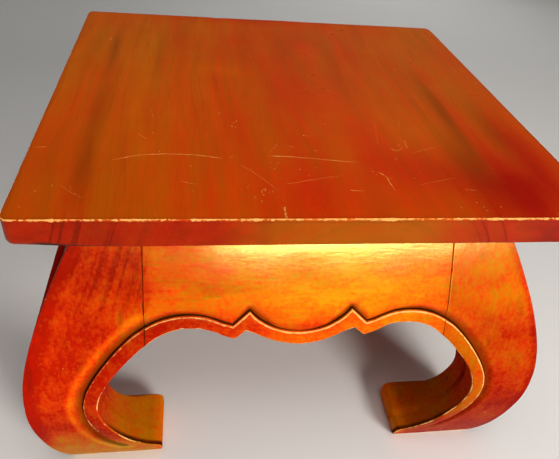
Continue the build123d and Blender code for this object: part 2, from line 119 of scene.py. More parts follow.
# ------------------------------------------------------------------ seeded noise
def hash3(i, j, k, seed):
    h = (i * 374761393 + j * 668265263 + k * 2147483647 + seed * 1274126177) & 0xFFFFFFFF
    h = ((h ^ (h >> 13)) * 1274126177) & 0xFFFFFFFF
    return ((h ^ (h >> 16)) & 0xFFFFFF) / float(0xFFFFFF)


def noise(x, y, z, seed=1):
    """Smooth value noise in -1..1; the arguments are places in cells."""
    x, y, z = np.broadcast_arrays(np.asarray(x, float), np.asarray(y, float), np.asarray(z, float))
    f = [np.floor(q).astype(np.int64) for q in (x, y, z)]
    t = [q - g for q, g in zip((x, y, z), f)]
    t = [q * q * (3 - 2 * q) for q in t]
    out = 0.0
    for a in (0, 1):
        for b in (0, 1):
            for c in (0, 1):
                w = ((t[0] if a else 1 - t[0]) * (t[1] if b else 1 - t[1]) * (t[2] if c else 1 - t[2]))
                out = out + w * hash3(f[0] + a, f[1] + b, f[2] + c, seed)
    return out * 2 - 1


def smooth01(a, b, x):
    t = np.clip((x - a) / (b - a), 0, 1)
    return t * t * (3 - 2 * t)


def blob(x, y, cx, cy, sx, sy):
    return np.exp(-((x - cx) / sx) ** 2 - ((y - cy) / sy) ** 2)


# ------------------------------------------------------------------ carving of the bead
def along(p, qx, qy):
    """Signed distance of the places q to the line (above 0 on its left-hand side
    going from low to high index), and the place along it."""
    best = np.full(qx.shape, 1e9)
    sign = np.ones(qx.shape)
    place = np.zeros(qx.shape)
    s0 = 0.0
    for i in range(len(p) - 1):
        ax, ay = p[i]
        dx, dy = p[i + 1] - p[i]
        ln = math.hypot(dx, dy)
        t = np.clip(((qx - ax) * dx + (qy - ay) * dy) / (ln * ln), 0, 1)
        dist = np.hypot(qx - ax - t * dx, qy - ay - t * dy)
        hit = dist < best - 1e-9
        side = dx * (qy - ay) - dy * (qx - ax)
        best = np.where(hit, dist, best)
        sign = np.where(hit, np.where(side >= 0, 1.0, -1.0), sign)
        place = np.where(hit, s0 + t * ln, place)
        s0 += ln
    return best * sign, place


def rows(*r):
    return np.array(r, float)


# (line, rows of place along it, width of the cove, depth)
LEG_CARVE = [(spline(B_LEG, 6), rows((0, 12.5, 3.5), (60, 13.0, 3.9), (120, 12.5, 4.0),
                                     (165, 10.5, 3.2), (205, 7.0, 1.6), (232, 4.0, 0.0)))]
SIDE_CARVE = [(spline(B_SIDE, 6), rows((0, 12.5, 3.5), (60, 13.0, 3.9), (130, 12.5, 4.0),
                                       (190, 10.5, 3.0), (220, 6.0, 0.0)))]
FRONT_CARVE = [(spline(B_FRONT[:6], 6), rows((0, 4.5, 2.2), (28, 7.0, 2.8), (46, 12.5, 3.8), (66, 11.0, 3.6))),
               (np.array([B_FRONT[5], B_FRONT[6]], float), rows((0, 10.0, 3.4), (22, 6.0, 3.0))),
               (spline(B_FRONT[6:], 6), rows((0, 6.0, 3.0), (30, 6.5, 3.0), (60, 9.5, 3.3), (95, 12.5, 3.5)))]
SHORT_CARVE = [(spline(B_SHORT[:6], 6), rows((0, 4.5, 2.2), (20, 7.0, 2.8), (34, 12.0, 3.8), (50, 10.0, 3.6))),
               (np.array([B_SHORT[5], B_SHORT[6]], float), rows((0, 9.0, 3.4), (20, 6.0, 3.0))),
               (spline(B_SHORT[6:], 6), rows((0, 6.0, 3.0), (20, 6.5, 3.0), (40, 9.5, 3.3), (62, 12.5, 3.5)))]


def carve(lines, a, z):
    """Depth behind the swelling face, signed distance to the bead's top line,
    and how deep in the cove a place is (0..1)."""
    d = np.full(a.shape, 99.0)
    w = np.ones(a.shape)
    g = np.zeros(a.shape)
    for line, r in lines:
        dk, pk = along(line, a, z)
        take = np.abs(dk) < np.abs(d)
        d = np.where(take, dk, d)
        w = np.where(take, np.interp(pk, r[:, 0], r[:, 1]), w)
        g = np.where(take, np.interp(pk, r[:, 0], r[:, 2]), g)
    k = np.clip(g / 3.0, 0, 1)
    wall = smooth01(0.0, 1.5, d)
    back = 1 - smooth01(0.10, 1.0, (d - 1.5) / np.maximum(w - 1.5, 0.5))
    scoop = g * wall * back
    bead = 0.9 * k * np.clip((d + 7.0) / 7.0, -1.2, 1.0) ** 2 * (d < 0) * smooth01(-22, -15, d)
    bead = np.where(d >= 0, 0.9 * k * (1 - smooth01(0, 1.2, d)), bead)
    return np.maximum(scoop, bead), d, scoop / 4.0


# ------------------------------------------------------------------ surfaces
class Shell:
    """Collects vertices with their attributes, and faces."""

    def __init__(self, keys=("wear_and_highlight", "dirt_and_shade", "zone", "val")):
        self.v, self.f, self.keys = [], [], keys
        self.attr = {k: [] for k in keys}
        self.n = 0

    def grid(self, p, attrs, closed, caps=True):
        """p: stations x around x 3."""
        s, m = p.shape[:2]
        idx = np.arange(s * m).reshape(s, m) + self.n
        a = idx[:-1, :] if closed else idx[:-1, :-1]
        b = np.roll(idx, -1, 1)[:-1, :] if closed else idx[:-1, 1:]
        c = np.roll(idx, -1, 1)[1:, :] if closed else idx[1:, 1:]
        d = idx[1:, :] if closed else idx[1:, :-1]
        q = np.stack([a, b, c, d], -1).reshape(-1, 4)
        v = p.reshape(-1, 3)
        w = v - v.mean(0)
        i = q - self.n
        vol = (w[i[:, 0]] * np.cross(w[i[:, 1]], w[i[:, 2]])).sum() + (w[i[:, 0]] * np.cross(w[i[:, 2]], w[i[:, 3]])).sum()
        if not closed:
            vol = np.cross(v[i[:, 2]] - v[i[:, 0]], v[i[:, 3]] - v[i[:, 1]])[:, 2].sum()
        q = q if vol > 0 else q[:, ::-1]
        self.f += q.tolist()
        if caps and closed:
            ends = [idx[0].tolist(), idx[-1].tolist()[::-1]]
            self.f += ends if vol < 0 else [e[::-1] for e in ends]
        self.v.append(v)
        for k in self.keys:
            val = attrs.get(k, 0.0)
            self.attr[k].append(np.broadcast_to(val, (s, m)).reshape(-1))
        self.n += s * m
        return idx

    def box(self, x0, x1, y0, y1, z0, z1):
        q = np.array([[(x0, y0), (x1, y0), (x1, y1), (x0, y1)]] * 2, float)
        p = np.concatenate([q, np.array([[[z0]] * 4, [[z1]] * 4], float)], -1)
        self.grid(p, {}, True)

    def make(self, name, node, material, slot, sx=1, sy=1, paint=None):
        v = np.vstack(self.v) * np.array([sx, sy, 1.0])
        me = bpy.data.meshes.new(name)
        me.from_pydata((v * MM).tolist(), [], [f[::-1] for f in self.f] if sx * sy < 0 else self.f)
        data = {k: np.concatenate(self.attr[k]) for k in self.keys}
        if paint:
            data = paint(v, data)
        for k in ("wear_and_highlight", "dirt_and_shade", "zone", "val"):
            at = me.attributes.new(k, "FLOAT", "POINT")
            at.data.foreach_set("value", np.asarray(data[k], np.float32))
        me.validate()
        me.update()
        me.shade_smooth()
        me.materials.append(material)
        ob = bpy.data.objects.new(name, me)
        scene.collection.objects.link(ob)
        if node:
            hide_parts(node)
        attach(ob, "root")
        return ob


def rounded(p, radius, counts, n_arc=4):
    """Sections with rounded corners. p: stations x corners x 2; radius: the same
    without the last axis; counts: points on each side. Returns the points, with
    the side each lies on (corner arcs count as -1 - corner)."""
    m = p.shape[1]
    nxt = np.roll(p, -1, 1)
    ln = np.linalg.norm(nxt - p, axis=-1)
    dirs = (nxt - p) / np.maximum(ln, 1e-9)[..., None]
    r_out = np.minimum(radius, 0.45 * ln)
    r_in = np.minimum(radius, 0.45 * np.roll(ln, 1, 1))
    cols, tag = [], []
    for k in range(m):
        start = p[:, k] - np.roll(dirs, 1, 1)[:, k] * r_in[:, k, None]
        end = p[:, k] + dirs[:, k] * r_out[:, k, None]
        if counts[k][1]:
            for t in np.linspace(0, 1, n_arc + 2)[1:-1]:
                cols.append((1 - t) ** 2 * start + 2 * t * (1 - t) * p[:, k] + t * t * end)
                tag.append(-1 - k)
        k2 = (k + 1) % m
        stop = p[:, k2] - dirs[:, k] * r_in[:, k2, None]
        ts = counts[k][0]
        if np.ndim(ts) == 0:
            ts = np.linspace(0, 1, int(ts))[None, :] * np.ones((len(p), 1))
        for j in range(ts.shape[1]):
            cols.append(end + (stop - end) * ts[:, j, None])
            tag.append(k)
    return np.stack(cols, 1), np.array(tag)


def spread(breaks, counts):
    """Fractions 0..1 that follow the break places. breaks: stations x n, rising."""
    b = np.maximum.accumulate(breaks, axis=1)
    out = [b[:, :1]]
    for i, c in enumerate(counts):
        t = np.linspace(0, 1, c + 1)[1:]
        out.append(b[:, i:i + 1] + (b[:, i + 1:i + 2] - b[:, i:i + 1]) * t)
    q = np.concatenate(out, 1)
    return (q - b[:, :1]) / np.maximum(b[:, -1:] - b[:, :1], 1e-6)


def wobble(a, z, seed):
    """Unevenness left by the plane and the scraper, always inward, mm."""
    return (0.32 + 0.22 * noise(a / 46, z / 38, 0.3, seed) + 0.10 * noise(a / 15, z / 13, 0.7, seed + 1))


def chips(a, b, seed, size=9.0, limit=0.62):
    """Small knocks along an arris, 0..1."""
    return smooth01(limit, 1.0, noise(a / size, b / size, 0.0, seed)) + \
        0.5 * smooth01(0.75, 1.0, noise(a / 3.1, b / 3.1, 2.0, seed + 3))


def groove_grime_and_shade(d, scoop):
    """Black grime and painted shade in the corner at the foot of the bead, and a brown film of painted shade further
    out, strongest where the scoop is deep.
    """
    deep = np.clip(scoop * 1.4, 0, 1)
    return (0.54 * deep * smooth01(0.5, 1.1, d) * (1 - smooth01(1.3, 2.4, d))
            + 0.44 * smooth01(0.35, 0.95, scoop * 1.15) * smooth01(0.4, 1.0, d) * (1 - smooth01(2.5, 9.0, d)))


# ------------------------------------------------------------------ leg
def shape_leg(seed):
    step = 1.05
    z = np.unique(np.concatenate([np.arange(0, ZT, step), [ZT, 208.8, 226.4]]))
    h, e, a_s = half(z), by_z(E_LEG)(z), by_z(E_SIDE)(z)
    e = np.where(z > 208.8, J + 0.07, np.maximum(e, 0))
    a_s = np.where(z > 208.8, J + 0.07, a_s)
    px = np.where(z > 146, np.maximum(e, by_z(POST)(z)), e)
    pa = np.where(z > 150, np.maximum(a_s, by_z(POST_SIDE)(z)), a_s)
    up = smooth01(203, 212, z)
    nick1 = chips(z, 0 * z + 1, seed)
    nick2 = chips(z, 0 * z + 5, seed + 11)
    nick3 = chips(z, 0 * z + 9, seed + 23)
    r1 = 1.5 * (1 - up) + up * (0.40 + 0.9 * nick1) + 0.9 * nick1 * (1 - up)
    r2 = 1.3 + 1.6 * nick2 + 0.5 * noise(z / 30, 0, 0, seed + 5)
    r3 = 1.5 * (1 - up) + up * (0.40 + 0.9 * nick3)

    def skin(lines, a, zz, sd):
        dep, d, scoop = carve(lines, a, zz)
        return dep + wobble(a, zz, sd), d, scoop

    f1 = skin(LEG_CARVE, e, z, 31)[0]
    f2 = skin(LEG_CARVE, h, z, 31)[0]
    s2 = skin(SIDE_CARVE, h, z, 57)[0]
    s3 = skin(SIDE_CARVE, a_s, z, 57)[0]
    yf, ys = -(h - K), -(a_s - K)
    low = 3.0 * (1 - smooth01(140, 150, z))
    corners = np.stack([
        np.stack([e, yf + f1], 1), np.stack([h - s2, yf + f2], 1), np.stack([h - s3, ys], 1),
        np.stack([h - PL, ys], 1), np.stack([h - PL - low, -(pa - K)], 1), np.stack([px, -(pa - K)], 1),
        np.stack([px, yf + PL + low], 1), np.stack([e, yf + PL], 1)], 1)
    rad = np.zeros(corners.shape[:2])
    rad[:, 0], rad[:, 1], rad[:, 2] = r1, r2, r3
    rad[:, 5] = np.where(z < 150, 1.6, 0.6)

    xb = by_z(B_LEG)(z)
    xb = np.where(z < 45, 188 - (45 - z) * 0.9, xb)
    xb = np.where(z > 226.4, 156.5 - (z - 226.4) * 1.5, xb)
    slope = np.abs(np.gradient(xb, z))
    fac = np.sqrt(1 + np.clip(slope, 0, 2.0) ** 2)
    lo, hi = e + np.minimum(r1, 4), h - 3
    br = np.stack([lo, np.clip(xb - 0.2, lo, hi), np.clip(xb + 1.6 * fac, lo, hi),
                   np.clip(xb + 13.5 * fac, lo, hi), hi + 1.5], 1)
    ts1 = spread(br, ((14, 5, 16, 56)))
    ab = by_z(B_SIDE)(z)
    ab = np.where(z < 48.4, 223.9 - (48.4 - z) * 0.9, ab)
    ab = np.where(z > 226.4, 156.5 - (z - 226.4) * 1.5, ab)
    slope = np.abs(np.gradient(ab, z))
    fac2 = np.sqrt(1 + np.clip(slope, 0, 2.0) ** 2)
    lo2 = a_s + np.minimum(r3, 4)
    br2 = np.stack([lo2, np.clip(ab - 0.2, lo2, hi), np.clip(ab + 1.6 * fac2, lo2, hi),
                    np.clip(ab + 13.5 * fac2, lo2, hi), hi + 1.5], 1)
    ts2 = 1 - spread(br2, ((12, 5, 14, 30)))[:, ::-1]
    counts = [(ts1, True), (ts2, True), (6, True), (3, False), (6, False), (6, True), (2, False), (8, False)]
    p, tag = rounded(corners, rad, counts)
    zz = z[:, None] * np.ones(p.shape[:2])
    x, y = p[..., 0].copy(), p[..., 1].copy()

    wear_and_highlight = np.zeros_like(x)
    dirt_and_shade = np.zeros_like(x)
    # front face
    c = tag == 0
    dep, d, scoop = skin(LEG_CARVE, x[:, c], zz[:, c], 31)
    y[:, c] = yf[:, None] + dep
    dist = np.full(x.shape, 99.0)
    dist[:, c] = d
    # pale line along the bead's top edge: wear and painted highlight
    wear_and_highlight[:, c] = 0.66 * smooth01(-1.7, -0.6, d) * (d < 0.4) * smooth01(56, 100, zz[:, c])
    wear_and_highlight[:, c] = np.maximum(wear_and_highlight[:, c], 0.75 * smooth01(4.0, 2.0, zz[:, c]))
    rim = smooth01(2.6, 1.2, h[:, None] - x[:, c]) * smooth01(100, 60, zz[:, c])
    wear_and_highlight[:, c] = np.maximum(wear_and_highlight[:, c], (0.62 + 0.2 * noise(zz[:, c] / 9, 0, 0, seed + 44)) * rim)
    # painted shade in the cove beside the bead, with grime in its corner
    dirt_and_shade[:, c] = groove_grime_and_shade(d, scoop)
    # side face
    c2 = tag == 1
    a = K - y[:, c2]
    dep, d2, scoop2 = skin(SIDE_CARVE, a, zz[:, c2], 57)
    x[:, c2] = h[:, None] - dep
    dist[:, c2] = d2
    # pale line along the bead's top edge: wear and painted highlight
    wear_and_highlight[:, c2] = 0.66 * smooth01(-1.7, -0.6, d2) * (d2 < 0.4) * smooth01(44, 72, zz[:, c2])
    # painted shade in the cove beside the bead, with grime in its corner
    dirt_and_shade[:, c2] = groove_grime_and_shade(d2, scoop2)
    # arrises
    for k, amount in ((0, 0.80), (1, 0.42 + 0.4 * smooth01(80, 30, z)), (2, 0.75), (5, 0.35)):
        cc = tag == -1 - k
        wear_and_highlight[:, cc] = (amount * (0.6 + 0.4 * noise(z / 11, k * 3.0, 0, seed + 40)))[:, None]
        if k in (0, 2):
            wear_and_highlight[:, cc] *= (1 - up)[:, None]
            dirt_and_shade[:, cc] += (0.9 * up)[:, None]
    # painted shade just behind the lip on the inner, upward-facing surface of the foot
    cc = np.isin(tag, (7,))
    back = y[:, cc] - (yf[:, None] + 3.0)
    dirt_and_shade[:, cc] += 0.75 * (1 - smooth01(0, 4.5, back)) * (1 - smooth01(60, 130, zz[:, cc]))
    cc = np.isin(tag, (2, 3, 4, 5, 6, 7))
    dirt_and_shade[:, cc] += 0.12 + 0.2 * smooth01(120, 200, zz[:, cc])
    return np.stack([x, y, zz], -1), tag, wear_and_highlight, np.clip(dirt_and_shade, 0, 1), dist


# ------------------------------------------------------------------ aprons
def shape_apron(pend, arch, bead, carves, length, seed):
    step = 1.15
    x = np.concatenate([np.arange(0, length - 2, step), [pend[-1][0], arch[0][0], bead[5][0], bead[6][0]],
                        length - np.array([1.6, 1.0, 0.55, 0.3, 0.07])])
    x = np.unique(np.concatenate([-x, x]))
    ax = np.abs(x)
    lp, la = spline(pend), spline(arch)
    line = np.vstack([lp, la])
    edge = np.interp(ax, line[:, 0], line[:, 1]) + 0.35 * noise(x / 17, 0, 0, seed) * smooth01(8, 20, length - ax)
    lb = np.vstack([spline(bead[:6]), spline(bead[6:])])
    zb = np.interp(ax, lb[:, 0], lb[:, 1])
    slope = np.clip(np.abs(np.gradient(zb, x)), 0, 1.2)
    fac = np.sqrt(1 + slope ** 2)
    nick = chips(x, 0 * x, seed + 2, 8.0)
    r1 = 1.3 + 1.2 * nick
    corners = np.stack([np.stack([0 * x, edge], 1), np.stack([0 * x, 0 * x + ZT], 1),
                        np.stack([0 * x + PL, 0 * x + ZT], 1), np.stack([0 * x + PL, edge], 1)], 1)
    rad = np.zeros(corners.shape[:2])
    rad[:, 0], rad[:, 3] = r1, 1.5
    lo, hi = edge + r1, np.full(len(x), ZT)
    br = np.stack([lo, np.clip(zb - 0.2, lo, hi), zb + 1.6 * fac, zb + 13.0 * fac, hi], 1)
    ts = spread(br, ((12, 5, 14, 46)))
    p, tag = rounded(corners, rad, [(ts, True), (3, False), (10, False), (7, True)])
    n, z = p[..., 0].copy(), p[..., 1].copy()
    xx = x[:, None] * np.ones_like(n)
    wear_and_highlight, dirt_and_shade = np.zeros_like(n), np.zeros_like(n)
    c = tag == 0
    dep, d, scoop = carve(carves, np.abs(xx[:, c]), z[:, c])
    n[:, c] = dep
    dist = np.full(n.shape, 99.0)
    dist[:, c] = d
    # pale line along the bead's top edge: wear and painted highlight
    wear_and_highlight[:, c] = 0.74 * smooth01(-1.7, -0.6, d) * (d < 0.4)
    # painted shade in the cove beside the bead, with grime in its corner
    dirt_and_shade[:, c] = groove_grime_and_shade(d, scoop)
    cc = tag == -1
    n[:, cc] += 0.9 * 0.9
    wear_and_highlight[:, cc] = (0.84 + 0.30 * noise(x / 13, 0, 0, seed + 8))[:, None]
    # outer half takes the unevenness of the face and the rounding at the joint
    outer = np.clip(1 - n / 12.0, 0, 1)
    n = n + wobble(np.abs(xx), z, 31 if length > 120 else 57) * outer
    r = 0.42 + 0.9 * chips(z, np.sign(xx) * 20, seed + 4)
    t = np.clip(1 - (length - np.abs(xx)) / r, 0, 1)
    n = n + r * (1 - np.sqrt(np.maximum(1 - t * t, 0))) * outer
    dirt_and_shade += smooth01(0.2, 1.0, t) * 0.9 * outer
    cc = np.isin(tag, (1, 2, 3, -4))
    dirt_and_shade[:, cc] += 0.25
    y = -(half(z) - K) + n
    return np.stack([xx, y, z], -1), tag, wear_and_highlight, np.clip(dirt_and_shade, 0, 1), dist


def slab(shell, x0, x1, swap):
    """One curved tenon of an apron."""
    z = np.linspace(236, 346, 30)
    o, i = -(half(z) - K) + 6.5, -(half(z) - K) + 16.5
    p = np.stack([np.stack([z * 0 + x0, o, z], 1), np.stack([z * 0 + x1, o, z], 1),
                  np.stack([z * 0 + x1, i, z], 1), np.stack([z * 0 + x0, i, z], 1)], 1)
    if swap:
        p = np.stack([K - p[..., 1], p[..., 0], p[..., 2]], -1)
    shell.grid(p, {}, True)


# ------------------------------------------------------------------ camera
F_PX, YAW, PITCH, ROLL = 561.68, 0.19093, 0.6598, 0.11107
CX, CY = 277.69, 231.87
CAM = Vector((-0.10926, -0.58999, 0.65135))
fwd = Vector((math.sin(YAW) * math.cos(PITCH), math.cos(YAW) * math.cos(PITCH), -math.sin(PITCH)))
r0 = Vector((math.cos(YAW), -math.sin(YAW), 0))
u0 = r0.cross(fwd)
right = r0 * math.cos(ROLL) + u0 * math.sin(ROLL)
up = -r0 * math.sin(ROLL) + u0 * math.cos(ROLL)
f2 = (fwd + right * ((279.5 - CX) / F_PX) - up * ((229.5 - CY) / F_PX)).normalized()
u2 = (up - f2 * up.dot(f2)).normalized()
r2 = f2.cross(u2)
cam_data = bpy.data.cameras.new("camera")
cam_data.sensor_fit = "HORIZONTAL"
cam_data.sensor_width = 36.0
cam_data.lens = 36.0 * F_PX / 559.0
cam_data.clip_start, cam_data.clip_end = 0.01, 50
cam = bpy.data.objects.new("camera", cam_data)
scene.collection.objects.link(cam)
cam.matrix_world = Matrix(((r2.x, u2.x, -f2.x, CAM.x), (r2.y, u2.y, -f2.y, CAM.y),
                           (r2.z, u2.z, -f2.z, CAM.z), (0, 0, 0, 1)))
scene.camera = cam


def on_top(px, py):
    """Place on the table's top, mm, that shows at this place of the picture."""
    d = f2 + r2 * ((px - 279.5) / F_PX) - u2 * ((py - 229.5) / F_PX)
    t = (H * MM - CAM.z) / d.z
    return (CAM.x + d.x * t) / MM, (CAM.y + d.y * t) / MM


# ------------------------------------------------------------------ node helper
class Nodes:
    def __init__(self, name):
        self.mat = bpy.data.materials.new(name)
        self.mat.use_nodes = True
        self.t = self.mat.node_tree
        self.t.nodes.clear()
        self.out = self.t.nodes.new("ShaderNodeOutputMaterial")
        self.b = self.t.nodes.new("ShaderNodeBsdfPrincipled")
        self.t.links.new(self.b.outputs[0], self.out.inputs[0])

    def put(self, sock, val):
        if val is None:
            return
        if isinstance(val, bpy.types.NodeSocket):
            self.t.links.new(val, sock)
        else:
            sock.default_value = val

    def math(self, op, a, b=None, c=None, clamp=False):
        n = self.t.nodes.new("ShaderNodeMath")
        n.operation = op
        n.use_clamp = clamp
        for s, v in zip(n.inputs, (a, b, c)):
            self.put(s, v)
        return n.outputs[0]

    def vec(self, op, a, b=None, scale=None):
        n = self.t.nodes.new("ShaderNodeVectorMath")
        n.operation = op
        self.put(n.inputs[0], a)
        if b is not None:
            self.put(n.inputs[1], b)
        if scale is not None:
            self.put(n.inputs["Scale"], scale)
        return n.outputs["Value"] if op in ("LENGTH", "DOT_PRODUCT", "DISTANCE") else n.outputs["Vector"]

    def coords(self):
        return self.t.nodes.new("ShaderNodeTexCoord").outputs["Object"]

    def attr(self, name):
        n = self.t.nodes.new("ShaderNodeAttribute")
        n.attribute_name = name
        return n.outputs["Fac"]

    def noise(self, v, scale=1.0, detail=2.0, rough=0.5, distort=0.0):
        n = self.t.nodes.new("ShaderNodeTexNoise")
        self.put(n.inputs["Vector"], v)
        n.inputs["Scale"].default_value = scale
        n.inputs["Detail"].default_value = detail
        n.inputs["Roughness"].default_value = rough
        n.inputs["Distortion"].default_value = distort
        return n.outputs["Fac"]

    def voronoi(self, v, scale, randomness=1.0):
        n = self.t.nodes.new("ShaderNodeTexVoronoi")
        self.put(n.inputs["Vector"], v)
        n.inputs["Scale"].default_value = scale
        n.inputs["Randomness"].default_value = randomness
        return n.outputs["Distance"], n.outputs["Color"]

    def step(self, x, a, b, lo=0.0, hi=1.0):
        n = self.t.nodes.new("ShaderNodeMapRange")
        n.interpolation_type = "SMOOTHSTEP"
        self.put(n.inputs["Value"], x)
        n.inputs["From Min"].default_value = a
        n.inputs["From Max"].default_value = b
        n.inputs["To Min"].default_value = lo
        n.inputs["To Max"].default_value = hi
        return n.outputs[0]

    def sheen(self):
        """1 seen square on, falling to 0 at the edge: old wax has no mirror glance."""
        n = self.t.nodes.new("ShaderNodeLayerWeight")
        n.inputs["Blend"].default_value = 0.5
        return self.step(n.outputs["Facing"], 0.70, 0.90, 1.0, 0.0)

    def ramp(self, x, stops):
        n = self.t.nodes.new("ShaderNodeValToRGB")
        el = n.color_ramp.elements
        while len(el) > 1:
            el.remove(el[-1])
        for i, (p, c) in enumerate(stops):
            e = el[0] if i == 0 else el.new(p)
            e.position = p
            e.color = (*c, 1)
        self.put(n.inputs[0], x)
        return n.outputs[0]

    def mix(self, f, a, b, kind="MIX"):
        n = self.t.nodes.new("ShaderNodeMix")
        n.data_type = "RGBA"
        n.blend_type = kind
        n.clamp_factor = True
        self.put(n.inputs[0], f)
        self.put(n.inputs[6], a if isinstance(a, bpy.types.NodeSocket) else (*a, 1))
        self.put(n.inputs[7], b if isinstance(b, bpy.types.NodeSocket) else (*b, 1))
        return n.outputs[2]

    def scale_color(self, c, f):
        return self.vec("SCALE", c, scale=f)

    def bump(self, height, strength, distance):
        n = self.t.nodes.new("ShaderNodeBump")
        n.inputs["Strength"].default_value = strength
        n.inputs["Distance"].default_value = distance
        self.put(n.inputs["Height"], height)
        self.put(self.b.inputs["Normal"], n.outputs[0])
        return n.outputs[0]


FRAME_RAMP = [(0.0, (0.86, 0.36, 0.004)), (0.25, (0.83, 0.205, 0.002)), (0.5, (0.78, 0.105, 0.002)),
              (0.75, (0.68, 0.038, 0.002)), (1.0, (0.44, 0.008, 0.001))]
TOP_RAMP = [(0.0, (0.60, 0.135, 0.0004)), (0.35, (0.63, 0.084, 0.0006)), (0.6, (0.65, 0.047, 0.0008)),
            (0.8, (0.60, 0.022, 0.001)), (1.0, (0.50, 0.008, 0.001))]


def lacquer(name, grain):
    """Old glossy lacquer over figured wood. grain: cells per metre on each axis."""
    g = Nodes(name)
    p = g.coords()
    zone, val, wear_and_highlight, dirt_and_shade = (g.attr(k) for k in ("zone", "val", "wear_and_highlight", "dirt_and_shade"))
    grained = g.vec("MULTIPLY", p, grain)
    streak = g.noise(grained, 1.0, 5.0, 0.6, 0.6)
    fine = g.noise(g.vec("SCALE", grained, scale=4.5), 1.0, 3.0, 0.6, 0.2)
    mottle = g.noise(p, 26.0, 4.0, 0.6, 0.8)
    speck = g.noise(p, 240.0, 2.0, 0.6)
    red = g.math("ADD", zone, g.math("MULTIPLY_ADD", streak, 0.44, -0.22))
    red = g.math("ADD", red, g.math("MULTIPLY_ADD", mottle, 0.66, -0.33))
    red = g.math("ADD", red, g.math("MULTIPLY_ADD", speck, 0.80, -0.40))
    red = g.math("ADD", red, g.math("MULTIPLY_ADD", fine, 0.66, -0.33), clamp=True)
    col = g.ramp(red, FRAME_RAMP)
    bright = g.math("MULTIPLY", val, g.math("MULTIPLY_ADD", fine, 0.60, 0.70))
    bright = g.math("MULTIPLY", bright, g.math("MULTIPLY_ADD", speck, 0.60, 0.70))
    bright = g.math("MULTIPLY", bright, g.step(streak, 0.28, 0.50, 0.76, 1.02))
    bright = g.math("MULTIPLY", bright, g.math("MULTIPLY_ADD", mottle, 0.50, 0.76))
    col = g.scale_color(col, bright)
    # grime in the joints, and painted shade in the hollows
    grime_and_shade = g.math("MULTIPLY", dirt_and_shade, g.math("MULTIPLY_ADD", mottle, 0.9, 0.55), clamp=True)
    col = g.mix(g.step(grime_and_shade, 0.02, 0.55), col, g.mix(g.step(grime_and_shade, 0.3, 0.9), (0.24, 0.030, 0.001), (0.016, 0.006, 0.001)))
    # lacquer worn through to pale wood along the arrises, small knocks, and the pale line along the bead's top edge,
    # which is wear and painted highlight
    rub = g.noise(p, 170.0, 3.0, 0.65)
    worn_and_highlight = g.step(g.math("ADD", wear_and_highlight, g.math("MULTIPLY_ADD", rub, 1.1, -0.62)), 0.30, 0.72)
    dist, cell = g.voronoi(g.vec("ADD", p, (0.31, 0.17, 0.53)), 52.0)
    sep = g.t.nodes.new("ShaderNodeSeparateColor")
    g.put(sep.inputs[0], cell)
    size = g.math("MULTIPLY_ADD", g.step(sep.outputs[0], 0.72, 1.0), 0.085, 0.0)
    knock = g.math("GREATER_THAN", size, g.math("ADD", dist, g.math("MULTIPLY_ADD", rub, 0.10, -0.03)))
    worn_and_highlight = g.math("MAXIMUM", worn_and_highlight, g.math("MULTIPLY", knock, 0.85))
    col = g.mix(g.math("MULTIPLY", worn_and_highlight, 0.85), col, g.mix(rub, (0.95, 0.40, 0.05), (1.0, 0.72, 0.28)))
    g.put(g.b.inputs["Base Color"], col)
    rough = g.math("ADD", g.math("MULTIPLY_ADD", mottle, 0.16, 0.12), g.math("MULTIPLY", g.math("MAXIMUM", worn_and_highlight, grime_and_shade), 0.40))
    g.put(g.b.inputs["Roughness"], rough)
    # the polish is rubbed dull towards the floor
    sep = g.t.nodes.new("ShaderNodeSeparateXYZ")
    g.put(sep.inputs[0], p)
    gloss = g.math("SUBTRACT", 0.34, g.math("MULTIPLY", g.math("MAXIMUM", worn_and_highlight, grime_and_shade), 0.65), clamp=True)
    gloss = g.math("MULTIPLY", gloss, g.sheen())
    g.put(g.b.inputs["Specular IOR Level"], g.math("MULTIPLY", gloss, g.step(sep.outputs[2], 0.20, 0.345, 0.03, 1.0)))
    g.b.inputs["Specular Tint"].default_value = (1.0, 0.80, 0.25, 1)
    h = g.math("ADD", g.math("MULTIPLY", fine, 0.35), g.math("MULTIPLY", speck, 0.12))
    h = g.math("ADD", h, g.math("MULTIPLY", streak, 0.5))
    h = g.math("SUBTRACT", h, g.math("MULTIPLY", knock, 0.6))
    g.bump(h, 0.35, 0.0006)
    return g.mat


